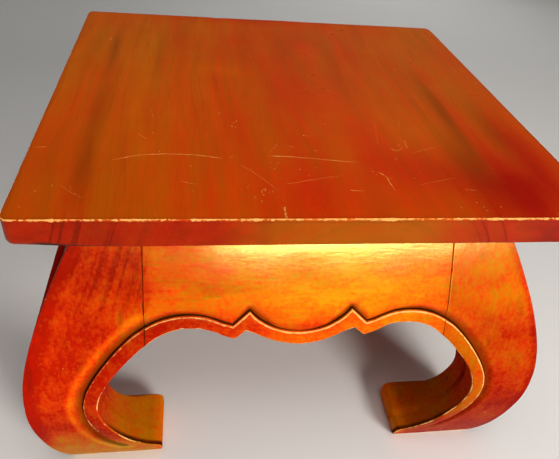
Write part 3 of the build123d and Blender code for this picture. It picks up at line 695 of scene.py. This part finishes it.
def top_lacquer(name):
    g = Nodes(name)
    p = g.coords()
    zone, val, wear_and_highlight, dirt_and_shade = (g.attr(k) for k in ("zone", "val", "wear_and_highlight", "dirt_and_shade"))
    # growth rings round a pith that runs front to back, low under the board
    s = g.t.nodes.new("ShaderNodeSeparateXYZ")
    g.put(s.inputs[0], p)
    drift = g.noise(g.vec("MULTIPLY", p, (3.0, 2.2, 3.0)), 1.0, 2.0, 0.5)
    dx = g.math("ADD", g.math("SUBTRACT", s.outputs[0], 0.035), g.math("MULTIPLY_ADD", drift, 0.07, -0.035))
    dz = g.math("SUBTRACT", s.outputs[2], 0.300)
    r = g.math("SQRT", g.math("ADD", g.math("MULTIPLY", dx, dx), g.math("MULTIPLY", dz, dz)))
    cmb = g.t.nodes.new("ShaderNodeCombineXYZ")
    g.put(cmb.inputs[0], r)
    g.put(cmb.inputs[1], g.math("MULTIPLY", s.outputs[1], 0.035))
    g.put(cmb.inputs[2], g.math("MULTIPLY", g.math("SIGN", s.outputs[0]), 0.05))
    ring = cmb.outputs[0]
    broad = g.noise(ring, 34.0, 2.0, 0.5, 0.3)
    streak = g.noise(ring, 150.0, 4.0, 0.62, 0.3)
    fine = g.noise(g.vec("MULTIPLY", p, (900.0, 26.0, 900.0)), 1.0, 3.0, 0.6)
    mottle = g.noise(p, 17.0, 4.0, 0.6, 0.6)
    speck = g.noise(p, 300.0, 2.0, 0.6)
    red = g.math("ADD", zone, g.math("MULTIPLY_ADD", broad, 0.40, -0.20))
    red = g.math("ADD", red, g.math("MULTIPLY_ADD", streak, 0.40, -0.20))
    red = g.math("ADD", red, g.math("MULTIPLY_ADD", speck, 0.44, -0.22))
    red = g.math("ADD", red, g.math("MULTIPLY_ADD", mottle, 0.26, -0.13), clamp=True)
    col = g.ramp(red, TOP_RAMP)
    bright = g.math("MULTIPLY", val, g.math("MULTIPLY_ADD", streak, 0.50, 0.75))
    bright = g.math("MULTIPLY", bright, g.math("MULTIPLY_ADD", fine, 0.30, 0.85))
    bright = g.math("MULTIPLY", bright, g.math("MULTIPLY_ADD", speck, 0.26, 0.87))
    # dark lines of late wood, strongest where the front edge cuts the rings
    face = g.step(s.outputs[2], 0.3880, 0.3892, 1.0, 0.0)
    late = g.noise(ring, 190.0, 2.0, 0.5, 0.2)
    aside = g.step(g.math("ABSOLUTE", g.math("SUBTRACT", s.outputs[0], 0.020)), 0.055, 0.115)
    line = g.math("MULTIPLY", g.step(late, 0.30, 0.43, 1.0, 0.0), aside)
    cut = g.math("MULTIPLY", g.math("MULTIPLY", line, g.step(mottle, 0.35, 0.60, 0.40, 1.0)), g.math("MULTIPLY_ADD", face, 0.34, 0.12))
    bright = g.math("MULTIPLY", bright, g.math("SUBTRACT", 1.0, cut))
    col = g.scale_color(col, bright)
    # grime, and painted shade on the rounding under the board's edge
    grime_and_shade = g.math("MULTIPLY", dirt_and_shade, g.math("MULTIPLY_ADD", mottle, 0.9, 0.55), clamp=True)
    col = g.mix(g.step(grime_and_shade, 0.02, 0.6), col, (0.035, 0.004, 0.001))

    patchy = g.noise(p, 330.0, 2.0, 0.7)
    # small knocks, more of them towards the front
    dots = None
    for off, sc, limit, big in ((0.0, 30.0, 0.72, 0.060), (0.37, 62.0, 0.80, 0.085)):
        dist, cell = g.voronoi(g.vec("ADD", g.vec("MULTIPLY", p, (1.0, 0.7, 1.0)), (off, off * 2, off)), sc)
        sep = g.t.nodes.new("ShaderNodeSeparateColor")
        g.put(sep.inputs[0], cell)
        size = g.math("MULTIPLY", g.step(sep.outputs[0], limit, 1.0), big)
        k = g.math("GREATER_THAN", size, g.math("ADD", dist, g.math("MULTIPLY_ADD", patchy, 0.10, -0.04)))
        dots = k if dots is None else g.math("MAXIMUM", dots, k)
    worn_and_highlight = g.step(g.math("ADD", wear_and_highlight, g.math("MULTIPLY_ADD", patchy, 1.5, -0.85)), 0.20, 0.62)
    pale = g.math("MAXIMUM", g.math("MULTIPLY", dots, 0.6), worn_and_highlight)
    col = g.mix(g.math("MULTIPLY", pale, 0.88), col, g.mix(patchy, (0.85, 0.26, 0.02), (0.95, 0.60, 0.20)))
    g.put(g.b.inputs["Base Color"], col)
    rough = g.math("ADD", g.math("MULTIPLY_ADD", mottle, 0.22, 0.20), g.math("MULTIPLY", pale, 0.35))
    g.put(g.b.inputs["Roughness"], rough)
    g.put(g.b.inputs["Specular IOR Level"], g.math("MULTIPLY", g.sheen(), g.math("SUBTRACT", 0.16, g.math("MULTIPLY", pale, 0.15), clamp=True)))
    g.b.inputs["Specular Tint"].default_value = (1.0, 0.60, 0.15, 1)
    h = g.math("ADD", g.math("MULTIPLY", streak, 0.4), g.math("MULTIPLY", fine, 0.3))
    h = g.math("SUBTRACT", h, g.math("MULTIPLY", dots, 0.8))
    g.bump(h, 0.25, 0.0005)
    return g.mat


def bare(name, grain):
    g = Nodes(name)
    p = g.coords()
    grained = g.vec("MULTIPLY", p, grain)
    streak = g.noise(grained, 1.0, 5.0, 0.6, 0.5)
    fine = g.noise(g.vec("SCALE", grained, scale=5.0), 1.0, 3.0, 0.6)
    col = g.ramp(streak, [(0.25, (0.20, 0.085, 0.025)), (0.55, (0.36, 0.17, 0.06)), (0.8, (0.46, 0.25, 0.11))])
    col = g.scale_color(col, g.math("MULTIPLY_ADD", fine, 0.5, 0.72))
    g.put(g.b.inputs["Base Color"], col)
    g.put(g.b.inputs["Roughness"], g.math("MULTIPLY_ADD", fine, 0.25, 0.55))
    g.b.inputs["Specular IOR Level"].default_value = 0.25
    g.bump(g.math("ADD", g.math("MULTIPLY", fine, 0.5), streak), 0.4, 0.0006)
    return g.mat


m_leg = lacquer("leg_lacquer", (62.0, 62.0, 12.0))
m_front = lacquer("long_apron_lacquer", (13.0, 60.0, 60.0))
m_side = lacquer("short_apron_lacquer", (60.0, 13.0, 60.0))
m_top = top_lacquer("top_lacquer")
m_bare_x = bare("bare_wood_lengthwise", (14.0, 150.0, 150.0))
m_bare_y = bare("bare_wood_crosswise", (150.0, 14.0, 150.0))


# ------------------------------------------------------------------ colour of the frame
def paint_frame(v, a):
    x, y, z = v.T
    # the bead's colour runs out into the foot
    a["bead"] = a["bead"] * smooth01(46, 96, z)
    left = smooth01(-J + 12, -J - 6, x)
    rightw = smooth01(J - 12, J + 6, x)
    mid = 1 - left - rightw
    t = half(z) - np.abs(x)
    zone = 0.46 + 0.16 * noise(x / 52, y / 52, z / 36, 101) + 0.10 * noise(x / 21, y / 21, z / 14, 102)
    zone += mid * (-0.10 - 0.24 * blob(x, z, 60, 288, 80, 40) + 0.18 * (1 - smooth01(226, 258, z))
                   + 0.16 * smooth01(-30, -150, x) + 0.06 * smooth01(90, 150, x))
    zone += left * (-0.34 + 0.70 * smooth01(355, 290, z) * smooth01(36, 100, z))
    zone += left * 0.34 * (1 - smooth01(5, 20, t)) * smooth01(30, 70, z)
    zone += rightw * (-0.04 + 0.34 * smooth01(290, 180, z) + 0.22 * (1 - smooth01(2, 12, t)))
    # painted highlight: the lip outside the cove is made more orange, most on the left leg, where it faces the light
    zone -= a["bevel"] * (0.34 * left + 0.06 * rightw) + a["cove"] * (0.26 * left - 0.12 * mid)
    # inner faces of the feet, where the lacquer is brown rather than red
    inside = smooth01(120, 70, z) * (1 - smooth01(-6, -1, a["out"]))
    zone = zone + inside * (0.26 - zone) * 0.8
    bl, br = smooth01(-20, -110, x), smooth01(20, 110, x)
    bead_zone = 0.92 * bl + 0.34 * br + 0.62 * (1 - bl - br)
    zone = zone * (1 - 0.85 * a["bead"]) + 0.85 * a["bead"] * (bead_zone + 0.12 * noise(x / 16, y / 16, z / 16, 103))
    # the legs darken towards the floor; on the right leg this is a painted shadow across its lower half
    val = (1.06 * mid + (1.02 - 0.40 * smooth01(140, 50, z)) * left
           + (0.98 - 0.30 * smooth01(310, 190, z) - 0.16 * smooth01(150, 80, z)) * rightw)
    # painted highlight on the lip outside the cove on the left leg, which faces the light, and painted shade in the
    # hollow of the cove, deepest on the left leg
    val += a["bevel"] * 0.08 * left - a["cove"] * (0.50 * left + 0.16 * rightw + 0.10 * mid)
    # painted shade: the inner faces of the feet are darker, the right foot's most, as it is turned from the light
    val *= 1 - 0.10 * inside * (1 + 1.5 * smooth01(60, 140, x))
    # painted shade: the bead is darker towards the left, away from the light
    val *= 1 - a["bead"] * (0.16 * smooth01(0, -120, x))
    # the pale line on the bead's top edge, wear and painted highlight, is painted brightest towards the right, where
    # the light comes from
    a["wear_and_highlight"] = a["wear_and_highlight"] * (1 + (0.50 * smooth01(-110, -10, x) - 0.22 - 0.25 * smooth01(-165, -185, x)) * a["bead"] * (z > 110))
    # dark red streaks that fan down the left leg
    u = (x + 150) * (1 - 0.0022 * (300 - z)) - (z - 300) * 0.26
    fan = noise(u / 2.6, z / 70.0, 0.0, 104)
    fan = left * smooth01(0.10, 0.65, fan) * smooth01(200, 262, z) * smooth01(348, 315, z) * (x > -222)
    val *= 1 - 0.20 * fan
    zone += 0.08 * fan
    a["zone"], a["val"] = zone, np.clip(val, 0.2, 1.3)
    return a


def frame_shell(p, wear_and_highlight, dirt_and_shade, d):
    """d: signed distance to the bead line on the outer faces, 99 elsewhere."""
    s = Shell(("wear_and_highlight", "dirt_and_shade", "zone", "val", "bevel", "bead", "out", "cove"))
    s.grid(p, {"wear_and_highlight": wear_and_highlight, "dirt_and_shade": dirt_and_shade, "out": np.where(d > 90, -9.0, 0.0),
               "bevel": np.exp(-((d - 14.0) / 4.0) ** 2), "cove": np.exp(-((d - 5.5) / 3.6) ** 2),
               "bead": smooth01(0.8, -0.6, d) * (d > -30)}, True)
    return s


def outline(n):
    """Inner rectangle and outer rounded outline of the top, in step."""
    inner, outer = [], []
    cx, cy, r = W / 2 - 7, D / 2 - 7, 7.0
    ix, iy = W / 2 - 14, D / 2 - 14
    nx, ny = n
    xs, ys = np.linspace(-ix, ix, nx), np.linspace(-iy, iy, ny)

    def corner(sx, sy, a0):
        for q in range(9):
            inner.append((sx * ix, sy * iy))
            a = math.radians(a0 + 90.0 * q / 8)
            outer.append((sx * cx + r * math.cos(a), sy * cy + r * math.sin(a)))

    for x in xs[1:-1]:
        inner.append((x, -iy)); outer.append((x, -D / 2))
    corner(1, -1, -90)
    for y in ys[1:-1]:
        inner.append((ix, y)); outer.append((W / 2, y))
    corner(1, 1, 0)
    for x in xs[::-1][1:-1]:
        inner.append((x, iy)); outer.append((x, D / 2))
    corner(-1, 1, 90)
    for y in ys[::-1][1:-1]:
        inner.append((-ix, y)); outer.append((-W / 2, y))
    corner(-1, -1, 180)
    return np.array(inner), np.array(outer), xs, ys


def top_paint(x, y):
    """Redness and brightness of the upper face."""
    zone = 0.36 + 0 * x
    # painted light: the board is darker at the front and lighter at the back, to even out how the lamps light it
    val = 0.93 - 0.09 * smooth01(-40, -220, y) + 0.06 * smooth01(120, 240, y)
    for px, py, sx, sy, dz, dv in (
            (110, 45, 100, 150, -0.26, 0.0), (60, 170, 80, 110, -0.04, -0.04), (470, 115, 40, 110, 0.0, -0.10),
            (400, 45, 70, 90, -0.22, 0.0), (290, 130, 60, 160, 0.10, -0.03), (290, 195, 110, 50, 0.12, 0.10),
            (410, 180, 60, 60, 0.08, 0.0), (525, 195, 45, 60, 0.62, -0.10), (520, 150, 26, 70, 0.36, -0.10),
            (250, 20, 90, 18, 0.24, -0.05), (470, 165, 16, 60, -0.16, -0.30), (440, 110, 9, 90, -0.12, -0.34),
            (490, 130, 9, 70, -0.10, -0.16), (115, 50, 6, 60, -0.10, -0.34), (160, 60, 6, 80, -0.06, -0.16),
            (85, 165, 8, 50, -0.06, -0.20), (100, 110, 8, 60, -0.06, -0.20), (335, 70, 7, 80, 0.0, -0.14), (180, 150, 14, 80, 0.10, 0.06),
            (215, 95, 14, 110, 0.12, 0.05), (225, 70, 22, 18, -0.08, 0.10), (430, 170, 40, 40, 0.20, -0.06)):
        cx, cy = on_top(px, py)
        b = blob(x, y, cx, cy, sx, sy)
        zone = zone + dz * b
        val = val + dv * b
    zone = zone + 0.10 * noise(x / 34, y / 120, 0, 201) + 0.08 * noise(x / 12, y / 70, 0, 202)
    val = val * (1 + 0.05 * noise(x / 20, y / 90, 0, 203))
    return zone, val


def make_top():
    n = ((241, 119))
    inner, outer, xs, ys = outline(n)
    s = Shell()
    und = lambda x, y: 0.12 + 0.06 * noise(x / 70, y / 90, 0, 211)
    gx, gy = np.meshgrid(xs, ys)
    gz = H - und(gx, gy)
    zone, val = top_paint(gx, gy)
    s.grid(np.stack([gx, gy, gz], -1), {"zone": zone, "val": val}, False)
    m = len(inner)
    o = outer
    sarc = np.cumsum(np.hypot(*(np.roll(o, -1, 0) - o).T))
    front = smooth01(-D / 2 + 12, -D / 2 + 3, o[:, 1])
    backw = smooth01(D / 2 - 12, D / 2 - 3, o[:, 1])
    nick = chips(sarc, 0 * sarc, 221, 8.0, 0.66)
    rt = 0.65 + 0.18 * noise(sarc / 25, 0, 0, 222) + 0.6 * nick
    near_fl = np.exp(-(((o[:, 0] + 250) / 45) ** 2 + ((o[:, 1] + 243) / 60) ** 2))
    rb = 1.0 + 0.4 * noise(sarc / 31, 0, 0, 223) + 7.5 * near_fl + 0.6 * chips(sarc, 0 * sarc + 7, 224, 9.0)
    slack = 0.20 + 0.15 * noise(sarc / 90, 0, 0, 225)
    slack = slack + backw * (1.0 + 0.5 * noise(sarc / 60, 0, 0, 226) - 1.1 * np.exp(-((o[:, 0] - 17) / 32) ** 2)
                             + 1.6 * np.exp(-((o[:, 0] + 73) / 9) ** 2))
    zt = H - und(inner[:, 0], inner[:, 1])
    prof = [(14 + 0 * rt, zt), (9 + 0 * rt, zt), (5 + 0 * rt, zt - 0.02), (slack + rt + 0.9, zt - 0.05), (slack + rt, zt - 0.08)]
    kinds = ["up"] * 5
    for t in (0.2, 0.4, 0.6, 0.8, 1.0):
        prof.append((slack + rt * (1 - t) ** 2, zt - 0.08 - rt * t * t))
        kinds.append("arris")
    z_hi, z_lo = zt - 0.08 - rt, ZT + rb
    for t in np.linspace(0, 1, 11)[1:]:
        zz = z_hi + (z_lo - z_hi) * t
        prof.append((slack + 0.12 * (1 + noise(o[:, 0] / 30, o[:, 1] / 30, zz / 9, 227)), zz))
        kinds.append("face")
    for t in (0.2, 0.4, 0.6, 0.8, 1.0):
        prof.append((slack + 0.12 + rb * t * t, ZT + rb * (1 - t) ** 2))
        kinds.append("low")
    prof.append((14 + 0 * rt, ZT + 0 * rt))
    kinds.append("under")
    pts = []
    for inset, z in prof:
        f = np.clip(inset / 14.0, 0, 1)[:, None]
        xy = o + (inner - o) * f
        pts.append(np.column_stack([xy, z]))
    p = np.array(pts)
    zone, val = top_paint(p[..., 0], p[..., 1])
    x = p[..., 0]
    e_zone = (0.14 + 0.72 * smooth01(-30, -105, x) + 0.60 * smooth01(75, 135, x)
              + 0.34 * smooth01(165, 215, x) + 0.06 * noise(x / 11, p[..., 2] / 9, 0, 233))
    e_val = 0.60 + 0.02 * smooth01(-60, -120, x) - 0.08 * smooth01(150, 215, x)
    wear_and_highlight = np.zeros(p.shape[:2])
    dirt_and_shade = np.zeros(p.shape[:2])
    for i, k in enumerate(kinds):
        if k in ("face", "low", "under"):
            zone[i] = e_zone[i]
            val[i] = e_val[i] * (1 - 0.16 * smooth01(-0.1, 0.7, noise(x[i] / 13, p[i, :, 2] / 6, 0.0, 235)) * smooth01(25, 90, np.abs(x[i] - 15)))
        if k == "arris":
            zone[i] = 0.5 * zone[i] + 0.5 * e_zone[i]
            wear_and_highlight[i] = (0.62 + 0.26 * noise(sarc / 17, 0, 0, 231) + 0.16 * noise(sarc / 3.7, 0, 0, 234)) * (0.30 + 0.70 * front) + 0.35 * nick
            wear_and_highlight[i] += 0.5 * np.exp(-(((o[:, 0] + 247) / 9) ** 2 + ((o[:, 1] + 240) / 9) ** 2))
        # painted shade on the rounding under the board's edge and on its underside
        if k == "low":
            dirt_and_shade[i] = 0.35 + 0.3 * noise(sarc / 19, 0, 0, 232)
        if k == "under":
            dirt_and_shade[i] = 0.3
    # a fine dark line above and below the worn arris
    wear_and_highlight[4] = 0.10
    val[3] *= 0.86
    val[4] *= 0.80
    dirt_and_shade[10] = 0.20
    s.grid(p, {"zone": zone, "val": val, "wear_and_highlight": wear_and_highlight, "dirt_and_shade": np.clip(dirt_and_shade, 0, 1)}, True, caps=False)
    s.f.append(list(range(s.n - m, s.n)))
    return s


# ------------------------------------------------------------------ pieces
for i, (node, sx, sy) in enumerate((("leg_front_right", 1, 1), ("leg_front_left", -1, 1),
                                    ("leg_back_right", 1, -1), ("leg_back_left", -1, -1))):
    p, tag, wear_and_highlight, dirt_and_shade, dist = shape_leg(3 + 10 * i)
    s = frame_shell(p, wear_and_highlight, dirt_and_shade, dist)
    q = -(LT_X - K)
    s.box(LT_X - LT / 2, LT_X + LT / 2, q - LT / 2, q + LT / 2, ZT - 2, ZT + 14)
    s.make(node + "_carved", node, m_leg, "frame_wood", sx=sx, sy=sy, paint=paint_frame)

for i, (node, pend, arch, bead, cv, length, swap, sx, sy) in enumerate((
        ("apron_front", E_PEND, E_ARCH, B_FRONT, FRONT_CARVE, J, False, 1, 1),
        ("apron_back", E_PEND, E_ARCH, B_FRONT, FRONT_CARVE, J, False, 1, -1),
        ("apron_right", F_PEND, F_ARCH, B_SHORT, SHORT_CARVE, JS, True, 1, 1),
        ("apron_left", F_PEND, F_ARCH, B_SHORT, SHORT_CARVE, JS, True, -1, 1))):
    p, tag, wear_and_highlight, dirt_and_shade, dist = shape_apron(pend, arch, bead, cv, length, 61 + 7 * i)
    if swap:
        p = np.stack([K - p[..., 1], p[..., 0], p[..., 2]], -1)
    s = frame_shell(p, wear_and_highlight, dirt_and_shade, dist)
    for e in (-1, 1):
        slab(s, e * (length - 3), e * (length + 14), swap)
    s.make(node + "_carved", node, m_side if swap else m_front, "frame_wood", sx=sx, sy=sy, paint=paint_frame)

top_board = make_top().make("table_top_board", "table_top", m_top, "top_wood")

# Scratches through the lacquer: shallow ribbons of bare wood with the lacquer's
# torn edge standing a few hundredths of a millimetre beside them.
SCRATCHES = [
    (0.55, [(112.7, 159.3), (140, 155), (170, 153.7), (200, 155.3), (222.3, 158)]),
    (0.52, [(267.7, 155.7), (293.3, 156.7), (323.3, 159.3), (358.3, 162.3)]),
    (0.70, [(377.3, 171.7), (386, 176.7), (395, 190.7)]),
    (0.42, [(390.7, 148.3), (397.3, 150.7), (403.3, 146.7)]), (0.42, [(404.3, 140), (405.5, 144), (407.3, 148.3)]),
    (1.00, [(284.2, 206), (285.3, 212), (286, 218)]), (0.8, [(372, 36.7), (376, 38.5), (380, 41)]),
    (0.45, [(350, 190), (358, 190.6), (365, 190.7)]),
    (0.20, [(413, 152.7), (425, 149.5), (436.7, 146.7)]), (0.24, [(286.7, 184), (310, 180), (340, 175.7)]),
    (0.16, [(240, 164), (260, 176.7), (278.3, 190.7)]), (0.20, [(374, 118.3), (376, 132), (378.3, 145)]),
    (0.24, [(137.3, 132.7), (142, 136), (146.7, 138.3)]), (0.26, [(35, 146.7), (41, 147), (46.7, 146.7)]),
    (0.24, [(286.7, 145.7), (291, 146.6), (295, 146.7)]), (0.22, [(465, 189.3), (471, 190), (476.7, 190)]),
    (0.22, [(398, 120), (399, 126), (400, 131.7)]), (0.16, [(178, 180), (187, 182.6), (196, 184)]),
    (0.16, [(420, 185), (438, 181), (455, 178)]), (0.16, [(60, 185), (71, 192), (82, 198)]),
    (0.16, [(150, 108), (152, 114), (154, 121)])]


# clusters of small knocks: place, spread in x and y, how many
KNOCKS = [((262, 193), 11, 8, 12), ((233, 124), 8, 12, 6), ((322, 124), 4, 12, 4), ((350, 95), 14, 12, 5),
          ((395, 165), 22, 20, 7), ((300, 170), 30, 16, 7), ((70, 190), 45, 20, 6), ((430, 85), 20, 20, 4),
          ((285, 150), 30, 10, 6), ((490, 205), 30, 8, 5), ((190, 150), 50, 40, 6)]
rng = np.random.default_rng(77)
for (kx, ky), sx_, sy_, count in KNOCKS:
    for _ in range(count):
        qx, qy = kx + sx_ * rng.normal() * 0.6, ky + sy_ * rng.normal() * 0.6
        if qy < 212:
            a_, l_ = rng.uniform(-0.9, 0.9), rng.uniform(0.7, 2.2)
            SCRATCHES.append((rng.uniform(0.25, 0.62), [(qx, qy), (qx + l_ * math.cos(a_) / 2, qy + l_ * math.sin(a_) / 2 + 0.15),
                                                        (qx + l_ * math.cos(a_), qy + l_ * math.sin(a_))]))


def make_scratches():
    s = Shell()
    for i, (width, line) in enumerate(SCRATCHES):
        c = spline([on_top(*q) for q in line], 14)
        c = c + np.column_stack([0.35 * noise(np.arange(len(c)) / 3.1, i, 0, 301), 0.35 * noise(np.arange(len(c)) / 2.7, i, 4, 302)])
        d = np.gradient(c, axis=0)
        nrm = np.column_stack([-d[:, 1], d[:, 0]]) / np.maximum(np.hypot(d[:, 0], d[:, 1]), 1e-6)[:, None]
        u = np.linspace(0, 1, len(c))
        w = width * np.clip(np.minimum(u, 1 - u) * 9, 0.12, 1) * (0.75 + 0.45 * noise(u * 14, i, 0, 303))
        z0 = H - 0.30
        offs = ((-1.0, z0), (-1.0, None), (-0.4, None), (0.4, None), (1.0, None), (1.0, z0))
        p = []
        for k, zz in offs:
            xy = c + nrm * (w * k)[:, None]
            top = H - 0.03 - 0.02 * (abs(k) < 0.5) + 0 * u
            p.append(np.column_stack([xy, top if zz is None else zz + 0 * u]))
        s.grid(np.stack(p, 1), {"wear_and_highlight": 0.8 + 0 * u[:, None], "val": 1.0}, True)
    return s


m_raw = bare("worn_wood", (220.0, 220.0, 220.0))
ramp = next(n for n in m_raw.node_tree.nodes if n.type == "VALTORGB").color_ramp
for e, c in zip(ramp.elements, ((0.50, 0.11, 0.008), (0.78, 0.24, 0.03), (0.95, 0.50, 0.14))):
    e.color = (*c, 1)
make_scratches().make("table_top_scratches", None, m_raw, "top_wood")

for n, m in (("batten_front", m_bare_x), ("batten_back", m_bare_x), ("cleat_front", m_bare_x),
             ("cleat_back", m_bare_x), ("cleat_left", m_bare_y), ("cleat_right", m_bare_y),
             ("apron_pins", m_bare_y)):
    NODES[n].data.materials.clear()
    NODES[n].data.materials.append(m)

# ------------------------------------------------------------------ floor, lights
fl = Nodes("studio_floor")
fp = fl.coords()
fl.put(fl.b.inputs["Base Color"], fl.mix(fl.noise(fp, 3.0, 3.0), (0.80, 0.79, 0.775), (0.84, 0.83, 0.815)))
fl.put(fl.b.inputs["Roughness"], fl.math("MULTIPLY_ADD", fl.noise(fp, 40.0, 3.0), 0.1, 0.75))
fl.b.inputs["Specular IOR Level"].default_value = 0.2
bpy.ops.mesh.primitive_plane_add(size=14, location=(0, 0, 0))
floor = bpy.context.active_object
floor.name = "studio_floor"
floor.data.materials.append(fl.mat)


def area(name, loc, target, size, power, color=(1, 1, 1), glossy=True):
    d = bpy.data.lights.new(name, "AREA")
    d.shape = "RECTANGLE"
    d.size, d.size_y = size
    d.energy = power
    d.color = color
    o = bpy.data.objects.new(name, d)
    scene.collection.objects.link(o)
    o.location = loc
    o.rotation_mode = "QUATERNION"
    o.rotation_quaternion = (Vector(target) - Vector(loc)).to_track_quat("-Z", "Y")
    o.visible_glossy = glossy
    return o


def polar(az, el, dist, centre=(0.0, -0.2, 0.3)):
    """Place seen from the centre at this bearing (0 = front, above 0 = right) and height."""
    a, e = math.radians(az), math.radians(el)
    return (centre[0] + dist * math.sin(a) * math.cos(e), centre[1] - dist * math.cos(a) * math.cos(e),
            centre[2] + dist * math.sin(e))


area("key", polar(30, 21, 2.2), (0.0, -0.1, 0.27), (0.75, 0.55), 46, (1.0, 0.97, 0.92), glossy=False)
area("band", polar(17, 19, 2.2), (0.05, -0.18, 0.33), (1.1, 0.17), 105, (1.0, 0.97, 0.86)).visible_diffuse = False
area("overhead", (0.1, -0.7, 2.4), (0, 0, 0.3), (1.6, 1.6), 26, (1.0, 0.98, 0.95), glossy=False)
area("side_left", (-2.2, 0.4, 1.0), (0, 0, 0.25), (1.0, 1.0), 1.5, glossy=False)
area("back", (0.9, 2.3, 0.9), (0, 0, 0.2), (1.2, 0.8), 6, glossy=False)
world = bpy.data.worlds.new("world")
scene.world = world
world.use_nodes = True
world.node_tree.nodes["Background"].inputs[0].default_value = (1.0, 0.97, 0.93, 1)
world.node_tree.nodes["Background"].inputs[1].default_value = 0.06
scene.view_settings.view_transform = "Standard"
